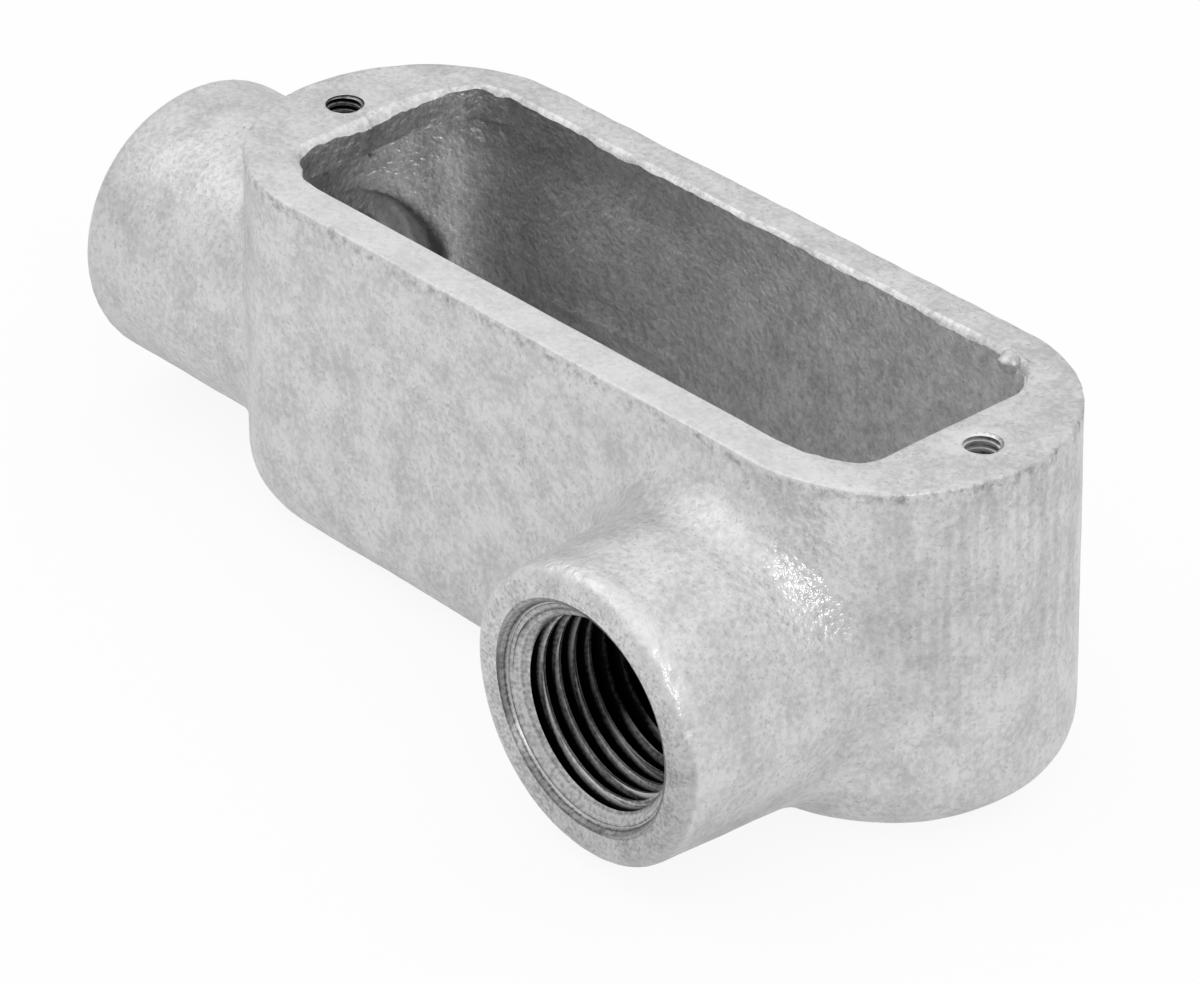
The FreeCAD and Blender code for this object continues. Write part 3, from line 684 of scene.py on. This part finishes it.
def paintMasks(piece):
    # vertex masks for the materials: the chamber, thick zinc, the threads' crests and the path across the cuts,
    # and masks of painted light and shade
    mesh = piece.data
    count = len(mesh.vertices)
    spots = numpy.empty(count * 3)
    mesh.vertices.foreach_get("co", spots)
    spots = spots.reshape(-1, 3) / mm
    chamber = numpy.array([chamberShare(Vector(p)) for p in spots])
    crest = numpy.zeros(count)
    turned = numpy.zeros(count)
    top = numpy.clip((spots[:, 2] - 37.3) / 0.6, 0, 1)
    streak = numpy.clip((spots[:, 0] - 43.5) / 5, 0, 1) * numpy.clip((spots[:, 2] - 12) / 8, 0, 1) * (1 - top)
    thickZincAndSheen = patchShare(spots, *zincPatches["sparkle"])
    thickZincAndSheen = numpy.maximum(thickZincAndSheen, 0.4 * patchShare(spots, *zincPatches["endTop"]))
    turn = numpy.degrees(numpy.arctan2(spots[:, 2] - body["axisHeight"], spots[:, 0] - body["sideStation"]))
    aside = numpy.hypot(spots[:, 0] - body["sideStation"], spots[:, 2] - body["axisHeight"])
    # the ridge round the side hub's face: coarse crystals here, and below a painted highlight of half its share
    ridge = numpy.clip(1.6 - abs(spots[:, 1] + body["sideReach"] - 1.5) / 0.8, 0, 1)
    ridge *= numpy.clip(aside - 13.0, 0, 1)
    ridge *= numpy.clip((turn - 18) / 10, 0, 1) * numpy.clip((128 - turn) / 16, 0, 1)
    thickZincAndSheen = numpy.maximum(thickZincAndSheen, 0.7 * ridge)
    thickZincAndSheen = numpy.maximum(thickZincAndSheen, 0.1) * (1 - chamber) + 0.3 * chamber
    # painted light and shade in the chamber: bands of it along the chamber, painted shade under the far lip's
    # left half, across the end wall, on the far wall under the lip, in the end port's recess and down its bore
    x, y, z = spots.T
    paintedLightShadeStain = numpy.interp(x, [-47.2, -45.2, -43.0, -41.4, -40.2, -38, -33, -22, 0, 30, 48],
                        [0.8, 1.2, 1.1, 1.6, 1.05, 0.74, 0.66, 0.88, 1.02, 1.1, 1.1])
    lipShare = (z > 33.8) * numpy.clip((-20 - x) / 12, 0, 1)
    paintedLightShadeStain += (numpy.interp(y, [0, 10], [0.5, 0.75]) - paintedLightShadeStain) * lipShare
    paintedLightShadeStain *= numpy.where((x < -44) & (z < 33.8), numpy.interp(y, [-3, 1.5, 5], [0.5, 0.75, 1.1]), 1.0)
    # painted shade on the far wall's top, under the lip
    paintedLightShadeStain *= 1 - 0.25 * numpy.clip((z - 30) / 3, 0, 1) * (y > 11) * numpy.clip((8 - x) / 20, 0, 1)
    # painted shade in the end port's recess, and the bore beyond it painted dark
    port = numpy.hypot(y, z - body["axisHeight"])
    paintedLightShadeStain *= 1 - 0.85 * (x < -42) * numpy.clip(1 - abs(port - 10.6) / 1.2, 0, 1) * numpy.clip((y - 5) / 3, 0, 1)
    paintedLightShadeStain = numpy.where((port < 7.8) & (x < -44), 0.3, paintedLightShadeStain)
    paintedLightShadeStain = 1 + chamber * (paintedLightShadeStain * 1.05 - 1)
    # the end hub is greyer at its far end, both hubs carry painted shade underneath, and the closed end has one
    # stained patch
    paintedLightShadeStain *= 1 - 0.08 * numpy.clip((-57 - x) / 8, 0, 1)
    underHub = numpy.maximum(numpy.clip((-19 - y) / 4, 0, 1), numpy.clip((-52 - x) / 4, 0, 1))
    paintedLightShadeStain *= 1 - 0.13 * underHub * numpy.clip((13 - z) / 7, 0, 1)
    paintedLightShadeStain *= 1 - 0.12 * patchShare(spots, *zincPatches["stain"])
    # the side hub's face is greyer low on the right
    onFace = (y < -body["sideReach"] + 1.4) * (aside < 14.7)
    paintedLightShadeStain *= 1 - 0.25 * onFace * numpy.clip(1.3 - abs(turn + 10) / 45, 0, 1)
    flange = (body["flangeHalfLength"], body["flangeHalfWidth"])
    rim = numpy.array([slotDistance(p[0], p[1], *flange) for p in spots])
    # painted shadow just under the flange's edge, and a dark spot beside the drip
    paintedEdgeShade = numpy.clip(1.6 - abs(z - 37.6) / 0.4, 0, 1) * (rim > -1.0)
    paintedEdgeShade = numpy.maximum(paintedEdgeShade, numpy.linalg.norm(spots - (36.6, 13.1, 37.9), axis=1) < 0.8)
    for name, place in hubFrames.items():
        turnBack = numpy.array(place.inverted())
        local = spots * mm @ turnBack[:3, :3].T + turnBack[:3, 3]
        radius = numpy.hypot(local[:, 0], local[:, 1]) / mm
        depth = -local[:, 2] / mm
        here = (radius < 12) & (depth > -0.5) & (depth < boreDepths[name] + 1)
        # the value falls below zero at the roots, so that it reaches nought, the painted shade's black, part
        # way down each flank
        shine = 1 - (radius - pipeThread["boreRadius"] + depth * pipeThread["taper"]) / 0.7
        lowLeft = numpy.clip(-(local[:, 0] + local[:, 1]) / mm / 12, 0, 1)
        # the land and the recess get set values, the recess darker towards the lower left
        shine = numpy.where(depth < pipeThread["landDepth"] + 0.1, 0.72, shine)
        shine = numpy.where(depth < pipeThread["recessDepth"] - 0.1, 0.64 - 0.34 * lowLeft, shine)
        # painted shade deeper into each bore, and a painted highlight on the crests at the lower right
        lowRight = numpy.clip((local[:, 0] - local[:, 1]) / mm / 12, 0, 1)
        crest = numpy.where(here, shine * numpy.clip(1.2 + 0.9 * lowRight - depth / 10, 0.1, 1), crest)
        turned = numpy.where(here, radius + depth, turned)
    holeHighlight = numpy.zeros(count)
    for side in (-1, 1):
        away = spots[:, 0] - side * body["screwHalfSpacing"]
        radius = numpy.hypot(away, spots[:, 1])
        # painted light and shade in the screw holes: the right hole is painted bright towards the left, with a
        # painted highlight on its rim on that side; the left one is painted dark
        lit = numpy.clip(0.35 - away / 3, 0, 1) if side > 0 else -0.35
        crest = numpy.where(radius < 2.6, (screwThread["rootRadius"] - radius) / 0.36 + lit, crest)
        rimRing = numpy.clip(1.4 - abs(radius - 2.25) / 0.35, 0, 1) * (z > 37.6)
        holeHighlight = numpy.maximum(holeHighlight, rimRing * lit * (side > 0))
    onSide = (y < -body["sideReach"] + 1.4) * numpy.clip((14.5 - aside) / 1.5, 0, 1)
    onEnd = (x < -body["endReach"] + 1.0) * numpy.clip((14.5 - port) / 1.5, 0, 1)
    pitted = numpy.maximum(onSide, onEnd)
    leftEdge = 0.15 * numpy.clip((-36.5 - x) / 2, 0, 1) * (rim < -6) * (z > 37.0) * (z < 38.12)
    nearStrip = 0.32 * top * numpy.clip((-11.5 - y) / 1.5, 0, 1) * numpy.clip((x + 45) / 15, 0, 1)
    # one mask lightens painted highlights on the side hub's face edge and the right screw hole's rim, a strip
    # along the flange top's near side, and the worn left edge of the opening
    masks = {
        "pitted": pitted, "paintedLightShadeStain": paintedLightShadeStain, "chamber": chamber, "crest": crest, "turned": turned, "thickZincAndSheen": thickZincAndSheen,
        "paintedSheenAndWear": numpy.maximum(numpy.maximum(0.5 * ridge, holeHighlight), numpy.maximum(leftEdge, nearStrip)),
        "flangeTopShade": top * (1 - chamber), "streak": streak, "paintedEdgeShade": paintedEdgeShade,
    }
    for name, values in masks.items():
        mask = mesh.attributes.new(name, "FLOAT", "POINT")
        mask.data.foreach_set("value", values.astype(numpy.float32))


def smoothFaces(piece):
    # slivers left by the cuts go, then smooth shading, kept sharp at steep edges and where two finishes meet
    mesh = piece.data
    bm = bmesh.new()
    bm.from_mesh(mesh)
    bmesh.ops.dissolve_degenerate(bm, dist=castSettings["sliver"] * mm, edges=bm.edges)
    bmesh.ops.delete(bm, geom=[edge for edge in bm.edges if edge.is_wire], context="EDGES")
    bm.to_mesh(mesh)
    bm.free()
    mesh.validate()
    mesh.polygons.foreach_set("use_smooth", [True] * len(mesh.polygons))
    mesh.set_sharp_from_angle(angle=math.radians(48))
    bm = bmesh.new()
    bm.from_mesh(mesh)
    for edge in bm.edges:
        if len({face.material_index for face in edge.link_faces}) > 1:
            edge.smooth = False
    bm.to_mesh(mesh)
    bm.free()


casting = makeCasting()
smoothFaces(casting)
paintMasks(casting)
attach(casting, "root")
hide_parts("conduit_body")
print("casting: finished", len(casting.data.polygons), "faces")


# how white the camera and the metal's reflections see the floor, and the tent from its foot to its top
studioSettings = {
    "floor": "#e8e8e8", "floorHalf": 1.5, "floorDrop": 0.02, "seen": 0.9, "mirrored": 0.45,
    "tentFoot": 0.68, "tentTop": 1.17, "tentTopFrom": 0.85,
}


def makeStage():
    s = studioSettings
    bm = bmesh.new()
    bmesh.ops.create_grid(bm, x_segments=1, y_segments=1, size=s["floorHalf"])
    # a hair below the base, so that the two never lie in one plane
    bmesh.ops.translate(bm, verts=bm.verts, vec=(0, 0, -s["floorDrop"] * mm))
    material, tree = newMaterial("pale_floor")
    rays = addNode(tree, "ShaderNodeLightPath")
    matt = addNode(tree, "ShaderNodeBsdfDiffuse", {"Color": linearColour(s["floor"])})
    glow = addNode(tree, "ShaderNodeEmission", {"Strength": 1.0})
    # the camera sees the floor almost white, and the metal's reflections see it halfway there
    seen = addNode(tree, "ShaderNodeMath", {
        0: rays.outputs["Is Camera Ray"], 1: s["seen"]}, operation="MULTIPLY")
    mirrored = addNode(tree, "ShaderNodeMath", {
        0: rays.outputs["Is Glossy Ray"], 1: rays.outputs["Is Transmission Ray"]}, operation="ADD")
    share = addNode(tree, "ShaderNodeMath", {0: mirrored.outputs[0], 1: s["mirrored"], 2: seen.outputs[0]},
                    operation="MULTIPLY_ADD")
    mix = addNode(tree, "ShaderNodeMixShader", {
        "Fac": share.outputs[0], 1: matt.outputs[0], 2: glow.outputs[0]})
    addNode(tree, "ShaderNodeOutputMaterial", {"Surface": mix.outputs[0]})
    floor = finishPiece(bm, "floor", material)

    # a light tent: brighter overhead than at the sides
    world = bpy.data.worlds.new("studio")
    bpy.context.scene.world = world
    world.use_nodes = True
    tree = world.node_tree
    tree.nodes.clear()
    way = addNode(tree, "ShaderNodeTexCoord").outputs["Generated"]
    split = addNode(tree, "ShaderNodeSeparateXYZ", {"Vector": way})
    height = addNode(tree, "ShaderNodeMapRange", {
        "Value": split.outputs["Z"], 1: 0.0, 2: s["tentTopFrom"], 3: s["tentFoot"], 4: s["tentTop"]})
    background = addNode(tree, "ShaderNodeBackground", {
        "Color": (1, 1, 1, 1), "Strength": height.outputs[0]})
    addNode(tree, "ShaderNodeOutputWorld", {"Surface": background.outputs[0]})

    # a small lamp low at the right glints on the side hub's blend; a soft one overhead lights the hubs' tops
    lamps = {
        "glint": {"place": (0.76, -0.35, 0.46), "size": 0.2, "power": 1.05},
        "overhead": {"place": (-0.42, -0.24, 0.76), "size": 0.6, "power": 0.55},
    }
    for name, settings in lamps.items():
        lamp = bpy.data.lights.new(name, "AREA")
        lamp.size = settings["size"]
        lamp.energy = settings["power"]
        made = bpy.data.objects.new(name, lamp)
        made.location = settings["place"]
        made.rotation_euler = (-made.location).to_track_quat("-Z", "Y").to_euler()
        bpy.context.scene.collection.objects.link(made)


makeStage()

# the photograph's view, solved from the casting's outline
cameraSettings = {
    "place": (0.404290, -0.366212, 0.338732), "turn": (59.1889, 0.2687, 48.1658), "lens": 198.44,
    "sensor": 36.0,
}
lens = bpy.data.cameras.new("camera")
lens.lens = cameraSettings["lens"]
lens.sensor_width = cameraSettings["sensor"]
lens.sensor_fit = "HORIZONTAL"
camera = bpy.data.objects.new("camera", lens)
camera.location = cameraSettings["place"]
camera.rotation_euler = [math.radians(angle) for angle in cameraSettings["turn"]]
bpy.context.scene.collection.objects.link(camera)
bpy.context.scene.camera = camera
bpy.context.scene.view_settings.view_transform = "Standard"
